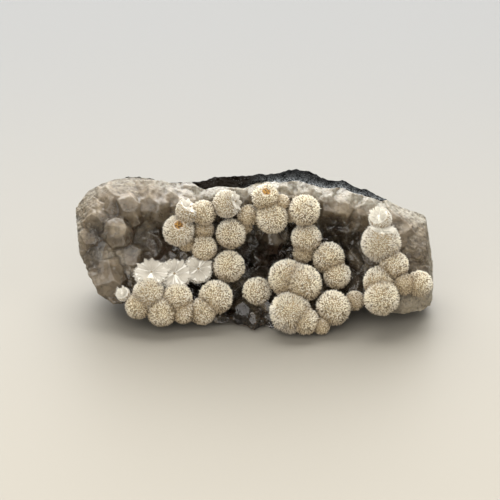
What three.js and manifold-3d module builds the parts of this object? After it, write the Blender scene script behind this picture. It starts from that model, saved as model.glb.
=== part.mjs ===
// A hand specimen of amethyst on matrix: a block of basalt, a crust of grown-together quartz and
// amethyst crystals over its face, and cream balls of radiating needles that grew on the crust.
// Millimetres, +Z up. The crystal face looks towards -Y and leans back, and the block stands on a
// flat break of the basalt.
import * as THREE from 'three';
import { mergeVertices } from 'three/addons/utils/BufferGeometryUtils.js';
import Module from 'manifold-3d';

const wasm = await Module();
wasm.setup();

// Driving sizes. Places on the specimen are given on its face: along its length, up the face, and
// out of the face towards the viewer, all from the middle of the face.
const halfLength = 65;
const faceLean = THREE.MathUtils.degToRad(28);
const faceHeight = 25; // from the table to the middle of the face
const gap = 0.3; // between neighbouring pieces
const edgeThickness = 17; // of the block at its skyline
const bodyThickness = 17; // what the block gains behind the bowl
const leastThickness = 3;
const crustThickness = 9;
const endThickness = 16; // what the crust gains at the two ends
const crustLift = 0.4; // of the crust above the table
const crystalRoot = 4; // how deep a crystal is rooted in the crust
const crystalLean = 0.25; // most that a crystal leans, as a slope
const capSlope = THREE.MathUtils.degToRad(38); // between a tip face's outward line and the axis

// The bowl that the crystals line, the deeper hollows in it, and how the face rolls back at its
// edges. reach is how far each is felt.
const bowl = { along: 2, up: -2, halfAlong: 57, halfUp: 22, depth: 9 };
const hollows = [
  { along: 4, up: -4, reach: 10, depth: 4.5 },
  { along: 32, up: -1, reach: 9, depth: 3.5 },
  { along: -40, up: 3, reach: 11, depth: 2 },
];
const topRoll = { reach: 5, depth: 14 };
const lowerRoll = { reach: 3, depth: 1.5 };
const leftRoll = { reach: 4, depth: 10 };
const rightRoll = { reach: 4, depth: 6 };
const deepest = -18;

// How finely the rock is faceted, and the bounds of the solid that parts crust from basalt.
const rockColumns = 27;
const [frontRows, backRows, baseRows] = [7, 6, 4];
const layerColumns = 16;
const layerRows = [0, 0.35, 0.6, 0.8, 0.93, 1]; // closer together towards the crust's upper edge
const farAlong = 72;
const farUp = 45;
const farOut = 60;

// The outline of the face, as [along, up].
const skyline = [
  [-65, 16], [-61, 22], [-56.5, 24.4], [-51, 26.2], [-45, 27.1], [-38, 26.6], [-31, 25.1],
  [-20, 25.6], [-14.5, 27.6], [-3, 27.2], [1, 28.3], [9, 28.6], [13, 30], [16, 30.1], [19, 29.2],
  [27, 25.9], [32, 25.9], [36, 23.8], [43, 21.5], [51, 17.5], [57, 15.2], [62.3, 13], [63.6, 6],
  [65, -3],
];
const lowerEdge = [
  [-65, 12], [-63.4, -1], [-59.4, -9], [-56.7, -15], [-51, -19], [-47, -18], [-42, -21.5],
  [-34, -24.5], [-20, -24.5], [-10, -25.5], [-4, -27.2], [4, -27.2], [12, -27], [24, -26],
  [33, -22], [39, -20], [46, -21], [55.5, -22], [62.7, -19.8], [64.5, -18], [65, -13],
];
// How far below the skyline the bare basalt shows on the top edge, as [along, distance].
const bareRock = [
  [-24, -1], [-18, 2.5], [-4, 2.9], [2, 2.3], [8, 2.6], [13, 4.6], [20, 4.3], [30, 2.8],
  [40, 2.4], [46, 1.5], [50, -1],
];

// The larger crystals: place on the face, radius of the prism, and how far the tip stands up.
const crystals = [
  // left end
  { along: -53.2, up: -9, radius: 6.6, rise: 4.6 }, { along: -50.5, up: -18, radius: 3.4, rise: 3 },
  { along: -49.3, up: 7.2, radius: 5.6, rise: 5 }, { along: -44.6, up: 14.6, radius: 5, rise: 3.2 },
  { along: -57, up: 13.3, radius: 5.2, rise: 2.4 }, { along: -60.4, up: 3.6, radius: 4.4, rise: 2 },
  { along: -34.4, up: 3.4, radius: 6, rise: 3.6 }, { along: -36.2, up: 14.6, radius: 5.2, rise: 3 },
  { along: -42.6, up: -0.4, radius: 5, rise: 3.2 }, { along: -51, up: 19, radius: 4.8, rise: 2 },
  // top band
  { along: -31, up: 20.4, radius: 4.6, rise: 2.4 }, { along: -20, up: 21.8, radius: 5, rise: 2.4 },
  { along: -4.6, up: 22, radius: 4.6, rise: 2.4 }, { along: 11.6, up: 23, radius: 4.4, rise: 2.2 },
  { along: 20.5, up: 22, radius: 4, rise: 2.4 }, { along: 27.4, up: 19.6, radius: 4.6, rise: 3 },
  { along: 33.6, up: 17.6, radius: 4.4, rise: 3 }, { along: 40, up: 17, radius: 4.4, rise: 2.6 },
  // hollow in the middle
  { along: 6.4, up: 4.3, radius: 4.4, rise: 4.4 }, { along: 0.6, up: -3.6, radius: 5, rise: 3.2 },
  { along: 3.6, up: -9.6, radius: 3.6, rise: 4.4 },
  // lower edge
  { along: -4.1, up: -21, radius: 4.8, rise: 4.8 }, { along: -0.6, up: -24.6, radius: 3.2, rise: 4 },
  { along: 4.9, up: -19.6, radius: 4, rise: 4.2 },
  // right hollow and right end
  { along: 32.5, up: 6.6, radius: 6, rise: 2.8 }, { along: 36.8, up: -3.4, radius: 3.8, rise: 4 },
  { along: 36, up: -12, radius: 4, rise: 3 }, { along: 50.6, up: 12.6, radius: 4.8, rise: 1.8 },
  { along: 56, up: 8, radius: 5.4, rise: 1.4 },
];

// The needle balls, group by group, from those behind to those in front. Balls of one group have
// grown into each other. stand is how far a ball's middle stands out of the crust. A broken ball
// has lost what lay beyond a plane: towards is the plane's direction as [along, up, out], and keep
// is where it cuts, as a share of the radius from the ball's middle.
const ballGroups = {
  balls_lower_left_rim: [
    { along: -25.6, up: -21.6, radius: 4.5, stand: 3.2 }, { along: -42, up: -19.5, radius: 5, stand: 3.5 },
    { along: -33.4, up: -21.6, radius: 5.6, stand: 4.2 },
  ],
  ball_lower_left_under: [{ along: -18.8, up: -21.4, radius: 5.2, stand: 3 }],
  ball_far_left: [
    { along: -47.4, up: -15.2, radius: 2.8, stand: 3.4, broken: { towards: [-0.4, 0.5, 0.75], keep: 0.25 } },
  ],
  balls_broken_pair: [
    { along: -38.1, up: -15.2, radius: 6.1, stand: 5 }, { along: -28, up: -17, radius: 6, stand: 5.4 },
    { along: -37.2, up: -7.2, radius: 6.7, stand: 6, broken: { towards: [-0.05, 0.72, 0.69], keep: 0 } },
    { along: -28.9, up: -7.8, radius: 6.2, stand: 6.4, broken: { towards: [0.06, 0.46, 0.88], keep: 0 } },
  ],
  ball_broken_single: [
    { along: -20.3, up: -6.2, radius: 5.4, stand: 5, broken: { towards: [0.12, 0.3, 0.95], keep: 0.1 } },
  ],
  ball_left_lower: [{ along: -13.9, up: -16.4, radius: 6.4, stand: 5 }],
  balls_upper_left: [
    { along: -18.6, up: 8, radius: 4.2, stand: 2.6 }, { along: -24.5, up: 3.4, radius: 3.4, stand: 3.4 },
    { along: -27.4, up: 7.7, radius: 6, stand: 4.6 }, { along: -18.2, up: 1.4, radius: 4.8, stand: 5 },
    { along: -24, up: 14.8, radius: 4.8, stand: 4.6, broken: { towards: [0.45, 0.8, 0.4], keep: 0.42 } },
    { along: -18.4, up: 14.2, radius: 4.8, stand: 5 },
  ],
  ball_top_left: [
    { along: -10.1, up: 17.3, radius: 5.3, stand: 4.2, broken: { towards: [0.85, 0.25, 0.46], keep: 0.72 } },
  ],
  ball_left_upper: [{ along: -8.5, up: 6.6, radius: 5.7, stand: 5 }],
  ball_left_middle: [{ along: -9.2, up: -5.2, radius: 6, stand: 6.4 }],
  balls_top_middle: [
    { along: -2.3, up: 13.3, radius: 4.1, stand: 2.6 }, { along: 9.8, up: 17.8, radius: 3.2, stand: 3 },
    { along: 4, up: 19.6, radius: 5.2, stand: 3.4 }, { along: 6.4, up: 12.4, radius: 6.1, stand: 6.4 },
  ],
  ball_top_right: [{ along: 18.1, up: 15, radius: 5.9, stand: 5 }],
  balls_middle_right: [
    { along: 18.7, up: 4.9, radius: 5.7, stand: 5 }, { along: 17.6, up: -0.4, radius: 4, stand: 4.6 },
  ],
  balls_right_of_middle: [
    { along: 26.8, up: -2.2, radius: 6, stand: 6.6 }, { along: 29.8, up: -8.4, radius: 5.2, stand: 5.8 },
  ],
  balls_lower_right: [
    { along: 36.2, up: -17.6, radius: 3.8, stand: 2.4 }, { along: 24.1, up: -26.6, radius: 3.4, stand: 6 },
    { along: 28.4, up: -20.2, radius: 6.5, stand: 5 },
  ],
  balls_lower_middle: [
    { along: 18.3, up: -24.9, radius: 5.2, stand: 7 }, { along: 13, up: -21.7, radius: 7.8, stand: 7 },
  ],
  ball_middle_small: [{ along: 0.9, up: -14.3, radius: 5.4, stand: 5 }],
  balls_middle_pair: [
    { along: 11.8, up: -9.4, radius: 7, stand: 10.5 }, { along: 17.4, up: -11.4, radius: 7.2, stand: 10 },
  ],
  ball_right_sheaf: [
    { along: 45.4, up: 11.9, radius: 4.4, stand: 3.4, broken: { towards: [-0.3, 0.55, 0.78], keep: 0.45 } },
  ],
  ball_right_large: [
    { along: 45.7, up: 3.4, radius: 7.4, stand: 5.6, broken: { towards: [0.1, 0.95, 0.3], keep: 0.68 } },
  ],
  ball_right_end: [
    { along: 53.9, up: -11.6, radius: 4.2, stand: 3 }, { along: 59.6, up: -11.4, radius: 4.9, stand: 2.6 },
  ],
  ball_right_middle: [{ along: 50.4, up: -4.9, radius: 5.5, stand: 5 }],
  balls_right_lower: [
    { along: 45, up: -10.9, radius: 6, stand: 5.4 }, { along: 45.9, up: -16.5, radius: 6.7, stand: 5.6 },
  ],
};

// Waves that break the bare rock into flat lumps and ledges: direction on the face, spacing, height.
const ledges = [
  { along: 0.82, up: 0.45, out: 0.35, spacing: 23, height: 3.4 },
  { along: -0.5, up: 0.78, out: 0.4, spacing: 15, height: 2.4 },
  { along: 0.31, up: -0.42, out: 0.85, spacing: 9, height: 1.5 },
  { along: 0.93, up: -0.3, out: -0.2, spacing: 7, height: 1 },
];

// From the face's own directions (along, up, out) to the row's X, Y and Z.
const faceToRow = new THREE.Matrix4()
  .makeTranslation(0, 0, faceHeight)
  .multiply(new THREE.Matrix4().makeRotationX(Math.PI / 2 - faceLean));

// Reads a line through [position, value] points, level beyond its ends.
function readLine(points, position) {
  const next = points.findIndex(([at]) => at >= position);
  if (next < 0) return points[points.length - 1][1];
  if (next === 0) return points[0][1];
  const [[from, low], [to, high]] = [points[next - 1], points[next]];
  return low + ((high - low) * (position - from)) / (to - from);
}

// The same fixed numbers between 0 and 1 on every run.
function seeded(number) {
  const value = Math.sin(number * 12.9898 + 4.1) * 43758.5453;
  return value - Math.floor(value);
}

function rockLedges(along, up, out) {
  let height = 0;
  ledges.forEach((wave, i) => {
    const phase = (along * wave.along + up * wave.up + out * wave.out) / wave.spacing + seeded(i);
    height += wave.height * (Math.abs((phase - Math.floor(phase)) * 2 - 1) - 0.5);
  });
  return height;
}

const fromSkyline = (along, up) => Math.max(0, readLine(skyline, along) - up);
const fromLowerEdge = (along, up) => Math.max(0, up - readLine(lowerEdge, along));
const fromEnd = (along) => Math.max(0, halfLength - Math.abs(along));

// How far the crust stands out without its crystals.
function crustOut(along, up) {
  const away = ((along - bowl.along) / bowl.halfAlong) ** 2 + ((up - bowl.up) / bowl.halfUp) ** 2;
  let out = -bowl.depth * Math.max(0, 1 - away) ** 0.8;
  for (const hollow of hollows) {
    const distance = Math.hypot(along - hollow.along, up - hollow.up);
    out -= hollow.depth * Math.exp(-((distance / hollow.reach) ** 2));
  }
  const endRoll = along < 0 ? leftRoll : rightRoll;
  out -= topRoll.depth * Math.exp(-((fromSkyline(along, up) / topRoll.reach) ** 1.3));
  out -= lowerRoll.depth * Math.exp(-fromLowerEdge(along, up) / lowerRoll.reach);
  out -= endRoll.depth * Math.exp(-fromEnd(along) / endRoll.reach);
  return Math.max(out, deepest);
}

// The back of the block: thinnest at the skyline and the ends, and broken into ledges.
function backOut(along, up) {
  const inside = (1 - Math.exp(-fromSkyline(along, up) / 8)) * (1 - Math.exp(-fromEnd(along) / 9));
  const out = -edgeThickness - bodyThickness * inside - rockLedges(along, up, 0);
  return Math.min(out, crustOut(along, up) - leastThickness);
}

// The crust's upper edge, below the bare basalt of the skyline.
const crustTop = (along) => readLine(skyline, along) - readLine(bareRock, along);

// Where the crust ends and the basalt begins. The crust is thicker at the two ends, and thins out
// to nothing at its upper edge.
function layerOut(along, up) {
  const thickness = crustThickness * (1 - Math.exp((up - crustTop(along)) / 7));
  const atEnds = endThickness * (1 - THREE.MathUtils.smoothstep(fromEnd(along), 4, 22));
  return crustOut(along, up) - thickness - atEnds;
}

// Height above the table of a place on the face, and back.
const heightOf = (up, out) => up * Math.cos(faceLean) + out * Math.sin(faceLean) + faceHeight;
const upAtHeight = (height, out) =>
  (height - faceHeight - out * Math.sin(faceLean)) / Math.cos(faceLean);

// One ring round the block: up the front, down the back and forward under the base.
function rockRing(along) {
  const top = readLine(skyline, along);
  const bottom = readLine(lowerEdge, along);
  const ring = [];
  for (let j = 0; j <= frontRows; j++) {
    const up = bottom + ((top - bottom) * j) / frontRows;
    ring.push(new THREE.Vector3(along, up, crustOut(along, up)));
  }
  const frontHeight = heightOf(bottom, crustOut(along, bottom));
  const backHeight = 1 + 0.8 * frontHeight;
  const backFoot = backOut(along, upAtHeight(backHeight, -edgeThickness - bodyThickness));
  const backBottom = Math.min(upAtHeight(backHeight, backFoot), top - 2);
  for (let j = 0; j <= backRows; j++) {
    const up = top + ((backBottom - top) * j) / backRows;
    ring.push(new THREE.Vector3(along, up, backOut(along, up)));
  }
  const first = ring[0];
  const last = ring[ring.length - 1];
  for (let j = 1; j < baseRows; j++) {
    const share = j / baseRows;
    const out = last.z + (first.z - last.z) * share;
    const level = heightOf(last.y, last.z) * (1 - share) + frontHeight * share;
    const dip = 4 * Math.sin(Math.PI * share) + 0.4 * rockLedges(along, 0, out); // for a flat foot
    ring.push(new THREE.Vector3(along, upAtHeight(level - dip, out), out));
  }
  return ring;
}

// A closed skin over a row of rings, with a point in the middle of each end.
function skin(rings) {
  const count = rings[0].length;
  const positions = rings.flat();
  const index = [];
  for (let i = 0; i + 1 < rings.length; i++)
    for (let j = 0; j < count; j++) {
      const [a, b] = [i * count + j, i * count + ((j + 1) % count)];
      index.push(a, a + count, b, b, a + count, b + count);
    }
  for (const i of [0, rings.length - 1]) {
    const middle = rings[i].reduce((sum, p) => sum.add(p), new THREE.Vector3()).divideScalar(count);
    positions.push(middle);
    for (let j = 0; j < count; j++) {
      const [a, b] = [i * count + j, i * count + ((j + 1) % count)];
      if (i === 0) index.push(positions.length - 1, a, b);
      else index.push(positions.length - 1, b, a);
    }
  }
  const geometry = new THREE.BufferGeometry().setFromPoints(positions);
  geometry.setIndex(index);
  return geometry;
}

function rockGeometry() {
  const rings = [];
  for (let i = 0; i <= rockColumns; i++) {
    const share = i / rockColumns;
    const along = halfLength * (0.45 * (2 * share - 1) - 0.55 * Math.cos(Math.PI * share));
    rings.push(rockRing(along));
  }
  return skin(rings);
}

// Everything in front of the layer between crust and basalt, moved in or out by a clearance.
function frontBlockGeometry(clearance) {
  const rings = [];
  for (let i = 0; i <= layerColumns; i++) {
    const along = farAlong * ((2 * i) / layerColumns - 1);
    const upperEdge = crustTop(along);
    const ring = [];
    for (const share of layerRows) {
      const up = -farUp + (upperEdge + farUp) * share;
      ring.push(new THREE.Vector3(along, up, layerOut(along, up) + clearance));
    }
    const above = upperEdge + 3;
    ring.push(new THREE.Vector3(along, above, crustOut(along, above) + 4 + clearance));
    for (const [up, out] of [[farUp, farOut / 2], [farUp, farOut], [-farUp, farOut]])
      ring.push(new THREE.Vector3(along, up, out));
    rings.push(ring.reverse());
  }
  return skin(rings);
}

// A closed geometry as a solid for cutting and joining, set upright in the row's own directions.
function solid(geometry) {
  const bare = geometry.index ? geometry.toNonIndexed() : geometry.clone();
  bare.deleteAttribute('normal');
  bare.deleteAttribute('uv');
  bare.applyMatrix4(faceToRow);
  const merged = mergeVertices(bare, 1e-4);
  return new wasm.Manifold(
    new wasm.Mesh({
      numProp: 3,
      vertProperties: new Float32Array(merged.attributes.position.array),
      triVerts: new Uint32Array(merged.index.array),
    }),
  );
}

// Cuts away what lies beyond a plane that is given on the face by a point and a direction.
function cutBeyond(body, point, direction) {
  const normal = direction.clone().transformDirection(faceToRow);
  const through = point.clone().applyMatrix4(faceToRow);
  return body.trimByPlane(normal.clone().negate().toArray(), -normal.dot(through));
}

// The direction that a crystal grows in: nearly straight off the crust, give or take a lean.
function growthDirection(along, up, number) {
  const step = 1.5;
  const slopeAlong = (crustOut(along + step, up) - crustOut(along - step, up)) / (2 * step);
  const slopeUp = (crustOut(along, up + step) - crustOut(along, up - step)) / (2 * step);
  const leanAlong = crystalLean * (2 * seeded(number + 0.1) - 1);
  const leanUp = crystalLean * (2 * seeded(number + 0.2) - 1);
  return new THREE.Vector3(leanAlong - 0.8 * slopeAlong, leanUp - 0.8 * slopeUp, 1).normalize();
}

// A quartz crystal: six prism sides, and a tip of three faces over every other side.
function crystalSolid({ along, up, radius, rise }, number) {
  const axis = growthDirection(along, up, number);
  const foot = new THREE.Vector3(along, up, crustOut(along, up));
  const turn = new THREE.Quaternion().setFromUnitVectors(new THREE.Vector3(0, 0, 1), axis);
  const twist = seeded(number + 0.3) * Math.PI;
  const length = rise + crystalRoot;
  const block = new THREE.BoxGeometry(3 * radius, 3 * radius, length)
    .translate(0, 0, rise - length / 2)
    .applyQuaternion(turn)
    .translate(foot.x, foot.y, foot.z);
  let crystal = solid(block);
  for (let side = 0; side < 6; side++) {
    const angle = twist + (side * Math.PI) / 3;
    const uneven = seeded(number + side * 0.7);
    const outward = new THREE.Vector3(Math.cos(angle), Math.sin(angle), 0).applyQuaternion(turn);
    crystal = cutBeyond(
      crystal, foot.clone().addScaledVector(outward, radius * (0.86 + 0.24 * uneven)), outward,
    );
    if (side % 2) continue;
    const tipFace = outward.clone().multiplyScalar(Math.sin(capSlope))
      .addScaledVector(axis, Math.cos(capSlope));
    const tip = foot.clone().addScaledVector(axis, rise * (0.9 + 0.3 * uneven));
    crystal = cutBeyond(crystal, tip, tipFace);
  }
  return crystal;
}

const ballMiddle = ({ along, up, stand }) =>
  new THREE.Vector3(along, up, crustOut(along, up) + stand);

// A ball out to the tips of its needles, with any broken side cut flat.
function ballSolid(ball, extra) {
  const middle = ballMiddle(ball);
  const round = new THREE.IcosahedronGeometry(ball.radius + extra, 1)
    .translate(middle.x, middle.y, middle.z);
  const whole = solid(round);
  if (!ball.broken) return whole;
  const towards = new THREE.Vector3(...ball.broken.towards).normalize();
  const cut = middle.clone().addScaledVector(towards, ball.radius * ball.broken.keep + extra);
  return cutBeyond(whole, cut, towards);
}

const joined = (bodies) => wasm.Manifold.union(bodies);

const groupNames = Object.keys(ballGroups);
const tight = groupNames.map((name) => joined(ballGroups[name].map((ball) => ballSolid(ball, 0))));
const roomy = groupNames.map((name) => joined(ballGroups[name].map((ball) => ballSolid(ball, gap))));

const rock = solid(rockGeometry()).trimByPlane([0, 0, 1], 0);
const sockets = joined(roomy);
const crust = rock
  .add(joined(crystals.map(crystalSolid)))
  .intersect(solid(frontBlockGeometry(gap)))
  .subtract(sockets)
  .trimByPlane([0, 0, 1], crustLift);
const basalt = rock.subtract(solid(frontBlockGeometry(0))).subtract(sockets);

const finishes = {
  basalt: { color: 0x2b2a29, roughness: 0.85, metalness: 0 },
  quartz: { color: 0x8c8078, roughness: 0.25, metalness: 0 },
  needles: { color: 0xd9ccb0, roughness: 0.8, metalness: 0 },
};

// The main piece of a cut solid, without the crumbs that a cut can leave.
function largest(body) {
  return body.decompose().reduce((best, piece) => (piece.volume() > best.volume() ? piece : best));
}

function mesh(name, body, finish) {
  const made = largest(body).getMesh();
  const points = new Float32Array(made.numVert * 3);
  for (let i = 0; i < made.numVert; i++)
    points.set(made.vertProperties.subarray(i * made.numProp, i * made.numProp + 3), i * 3);
  const geometry = new THREE.BufferGeometry();
  geometry.setAttribute('position', new THREE.BufferAttribute(points, 3));
  geometry.setIndex(new THREE.BufferAttribute(new Uint32Array(made.triVerts), 1));
  const piece = new THREE.Mesh(geometry, new THREE.MeshStandardMaterial(finish));
  piece.name = name;
  return piece;
}

const specimen = new THREE.Group();
specimen.add(mesh('basalt_matrix', basalt, finishes.basalt));
specimen.add(mesh('quartz_crust', crust, finishes.quartz));
groupNames.forEach((name, i) => {
  const inFront = roomy.slice(i + 1);
  const body = inFront.length ? tight[i].subtract(joined(inFront)) : tight[i];
  specimen.add(mesh(name, body, finishes.needles));
});

// The origin is the middle of the specimen's footprint, on the table.
const bounds = new THREE.Box3().setFromObject(specimen);
specimen.position.set(-(bounds.min.x + bounds.max.x) / 2, -(bounds.min.y + bounds.max.y) / 2, 0);

export default specimen;
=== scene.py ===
import math

import bpy
import numpy as np
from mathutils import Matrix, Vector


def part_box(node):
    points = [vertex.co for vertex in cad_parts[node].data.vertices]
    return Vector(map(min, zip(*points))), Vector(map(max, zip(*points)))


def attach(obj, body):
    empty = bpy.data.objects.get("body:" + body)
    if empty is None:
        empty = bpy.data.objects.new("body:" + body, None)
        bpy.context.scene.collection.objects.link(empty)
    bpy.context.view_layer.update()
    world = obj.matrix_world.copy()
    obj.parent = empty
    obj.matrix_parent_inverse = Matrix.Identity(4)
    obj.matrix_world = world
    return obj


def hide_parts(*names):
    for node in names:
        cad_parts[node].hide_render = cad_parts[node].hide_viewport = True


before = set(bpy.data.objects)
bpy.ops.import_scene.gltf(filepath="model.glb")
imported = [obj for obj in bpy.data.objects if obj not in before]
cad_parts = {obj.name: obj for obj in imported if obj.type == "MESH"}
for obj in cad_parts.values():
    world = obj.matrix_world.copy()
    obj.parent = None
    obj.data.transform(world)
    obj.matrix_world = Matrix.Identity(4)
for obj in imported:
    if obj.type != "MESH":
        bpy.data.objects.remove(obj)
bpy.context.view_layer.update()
print("solids loaded:", len(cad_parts), "nodes")

# Places are in millimetres on the face of the specimen: along its length, up the face and out of
# the face, from the face's middle, as in the solids. toRow turns them into the row's metres.
mm = 0.001
face = {"lean": math.radians(28), "height": 25.0, "halfLength": 65.0}
leanCos, leanSin = math.cos(face["lean"]), math.sin(face["lean"])

skyline = np.array([
    (-65, 16), (-61, 22), (-56.5, 24.4), (-51, 26.2), (-45, 27.1), (-38, 26.6), (-31, 25.1),
    (-20, 25.6), (-14.5, 27.6), (-3, 27.2), (1, 28.3), (9, 28.6), (13, 30), (16, 30.1),
    (19, 29.2), (27, 25.9), (32, 25.9), (36, 23.8), (43, 21.5), (51, 17.5), (57, 15.2),
    (62.3, 13), (63.6, 6), (65, -3)])
lowerEdge = np.array([
    (-65, 12), (-63.4, -1), (-59.4, -9), (-56.7, -15), (-51, -19), (-47, -18), (-42, -21.5),
    (-34, -24.5), (-20, -24.5), (-10, -25.5), (-4, -27.2), (4, -27.2), (12, -27), (24, -26),
    (33, -22), (39, -20), (46, -21), (55.5, -22), (62.7, -19.8), (64.5, -18), (65, -13)])
bareRock = np.array([
    (-24, -1), (-18, 3.9), (-4, 4.2), (2, 3), (8, 3), (13, 4.6), (20, 4.3), (30, 2.8),
    (40, 2.4), (46, 1.5), (50, -1)])

bowl = {"along": 2, "up": -2, "halfAlong": 57, "halfUp": 22, "depth": 9}
hollows = [(4, -4, 10, 4.5), (32, -1, 9, 3.5), (-40, 3, 11, 2)]  # along, up, reach, depth
rolls = {"top": (5, 14), "lower": (3, 1.5), "left": (4, 10), "right": (4, 6)}  # reach, depth
layer = {"depth": 9, "reach": 7, "atEnds": 16, "ends": (4, 22)}  # how thick the crust is, mm
rock = {
    "edge": 17, "depth": 34,  # how far the back lies behind the face, at its edges and inside
    "fade": (8, 9),  # over which it falls from the skyline and from the ends
    "least": 3,  # its least thickness
    "foot": (1, 0.8),  # the height of its back foot: the first plus this share of its front foot's
    "arch": 4,  # how far the underside is hollowed
}
ledges = [  # the ridges of the back: along and up of their direction, spacing, height
    (0.82, 0.45, 23, 3.4), (-0.5, 0.78, 15, 2.4), (0.31, -0.42, 9, 1.5), (0.93, -0.3, 7, 1)]


def seeded(number):
    value = math.sin(number * 12.9898 + 4.1) * 43758.5453
    return value - math.floor(value)


def readLine(points, along):
    return np.interp(along, points[:, 0], points[:, 1])


def smoothStep(low, high, value):
    share = np.clip((value - low) / (high - low), 0, 1)
    return share * share * (3 - 2 * share)


def cellValue(x, y, z, seed):
    # a repeatable random value from 0 to 1 for each whole-numbered cell
    mixed = (x * 73856093 ^ y * 19349663 ^ z * 83492791 ^ seed * 2654435761) & 0xFFFFFFFF
    mixed = (mixed ^ mixed >> 15) * 2246822519 & 0xFFFFFFFF
    mixed = (mixed ^ mixed >> 13) * 3266489917 & 0xFFFFFFFF
    return (mixed ^ mixed >> 16) / 0xFFFFFFFF


def latticeNoise(points, spacing, seed):
    # random values at the corners of a cubic lattice, blended smoothly in between, from -1 to 1
    place = np.asarray(points, float) / spacing
    cell = np.floor(place).astype(np.int64)
    blend = place - cell
    blend = blend * blend * (3 - 2 * blend)
    total = np.zeros(place.shape[:-1])
    for corner in range(8):
        offset = np.array([corner & 1, corner >> 1 & 1, corner >> 2 & 1])
        weight = np.prod(np.where(offset == 1, blend, 1 - blend), axis=-1)
        total += weight * cellValue(*np.moveaxis(cell + offset, -1, 0), seed)
    return total * 2 - 1


def crystalCaps(along, up, spacing, slope, seed, sides):
    # small pyramids, height = tall - steep * away, or round caps where sides is 0, set on a shaken
    # grid: the highest one counts
    x, y = np.floor(along / spacing).astype(np.int64), np.floor(up / spacing).astype(np.int64)
    highest = np.full(np.shape(along), -99.0)
    for cell in range(9):
        i, j = x + cell % 3 - 1, y + cell // 3 - 1
        dx = along - (i + 0.1 + 0.8 * cellValue(i, j, 1, seed)) * spacing
        dy = up - (j + 0.1 + 0.8 * cellValue(i, j, 2, seed)) * spacing
        twist = cellValue(i, j, 3, seed) * math.pi
        tall = spacing * slope * 0.55 * cellValue(i, j, 4, seed)
        steep = slope * (0.6 + 0.8 * cellValue(i, j, 5, seed))
        if sides:
            away = np.full(np.shape(along), -99.0)
            for side in range(sides):
                angle = twist + side * 2 * math.pi / sides
                uneven = 0.8 + 0.45 * cellValue(i, j, 6 + side, seed)
                away = np.maximum(away, (np.cos(angle) * dx + np.sin(angle) * dy) * uneven)
        else:
            away = (dx ** 2 + dy ** 2) / (1.1 * spacing)
        highest = np.maximum(highest, tall - steep * away)
    return highest


def roughness(points, spacing, octaves, seed):
    # octaves of latticeNoise, each half as wide and half as high as the one before
    return sum(latticeNoise(points, spacing / 2 ** k, seed + k) / 2 ** k for k in range(octaves))


def stacked(along, up, out):
    return np.stack(np.broadcast_arrays(along, up, out), axis=-1).astype(float)


def fromEnd(along):
    return np.maximum(0, face["halfLength"] - np.abs(along))


def crustOut(along, up):
    # the face without its crystals: a bowl with hollows, its edges rolling back exponentially
    away = ((along - bowl["along"]) / bowl["halfAlong"]) ** 2 + ((up - bowl["up"]) / bowl["halfUp"]) ** 2
    out = -bowl["depth"] * np.maximum(0, 1 - away) ** 0.8
    for a, u, reach, depth in hollows:
        out = out - depth * np.exp(-((along - a) ** 2 + (up - u) ** 2) / reach ** 2)
    fromSky = np.maximum(0, readLine(skyline, along) - up)
    fromLower = np.maximum(0, up - readLine(lowerEdge, along))
    endDepth = np.where(along < 0, rolls["left"][1], rolls["right"][1])
    out = out - rolls["top"][1] * np.exp(-((fromSky / rolls["top"][0]) ** 1.3))
    out = out - rolls["lower"][1] * np.exp(-fromLower / rolls["lower"][0])
    out = out - endDepth * np.exp(-fromEnd(along) / rolls["left"][0])
    return np.maximum(out, -18)


def crustTop(along):
    return readLine(skyline, along) - readLine(bareRock, along)


def layerOut(along, up):
    # where crust and basalt meet: the crust thins out to nothing at its upper edge
    thickness = layer["depth"] * (1 - np.exp(np.minimum(0, up - crustTop(along)) / layer["reach"]))
    atEnds = layer["atEnds"] * (1 - smoothStep(*layer["ends"], fromEnd(along)))
    return crustOut(along, up) - thickness - atEnds


def rockBack(along, up):
    # the lowest out of the block: its ledged back, its underside, or the table, whichever is first
    fromSky = np.maximum(0, readLine(skyline, along) - up)
    inside = (1 - np.exp(-fromSky / rock["fade"][0])) * (1 - np.exp(-fromEnd(along) / rock["fade"][1]))
    back = -rock["edge"] - (rock["depth"] - rock["edge"]) * inside
    for i, (a, u, spacing, height) in enumerate(ledges):
        phase = (along * a + up * u) / spacing + seeded(i)
        back = back - height * (np.abs((phase - np.floor(phase)) * 2 - 1) - 0.5)
    back = np.minimum(back, crustOut(along, up) - rock["least"])
    bottom = readLine(lowerEdge, along)
    frontFoot = bottom * leanCos + crustOut(along, bottom) * leanSin + face["height"]
    backFoot = rock["foot"][0] + rock["foot"][1] * frontFoot
    backUp = (backFoot - face["height"] + rock["depth"] * leanSin) / leanCos
    share = np.clip((up - bottom) / np.maximum(backUp - bottom, 1), 0, 1)
    level = frontFoot + (backFoot - frontFoot) * share - rock["arch"] * np.sin(math.pi * share)
    under = (np.maximum(level, 0) - face["height"] - up * leanCos) / leanSin
    return np.maximum(back, under)


def tableOut(up, lift):
    # where the table is, or a level that much above it
    return (lift - face["height"] - up * leanCos) / leanSin


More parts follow.
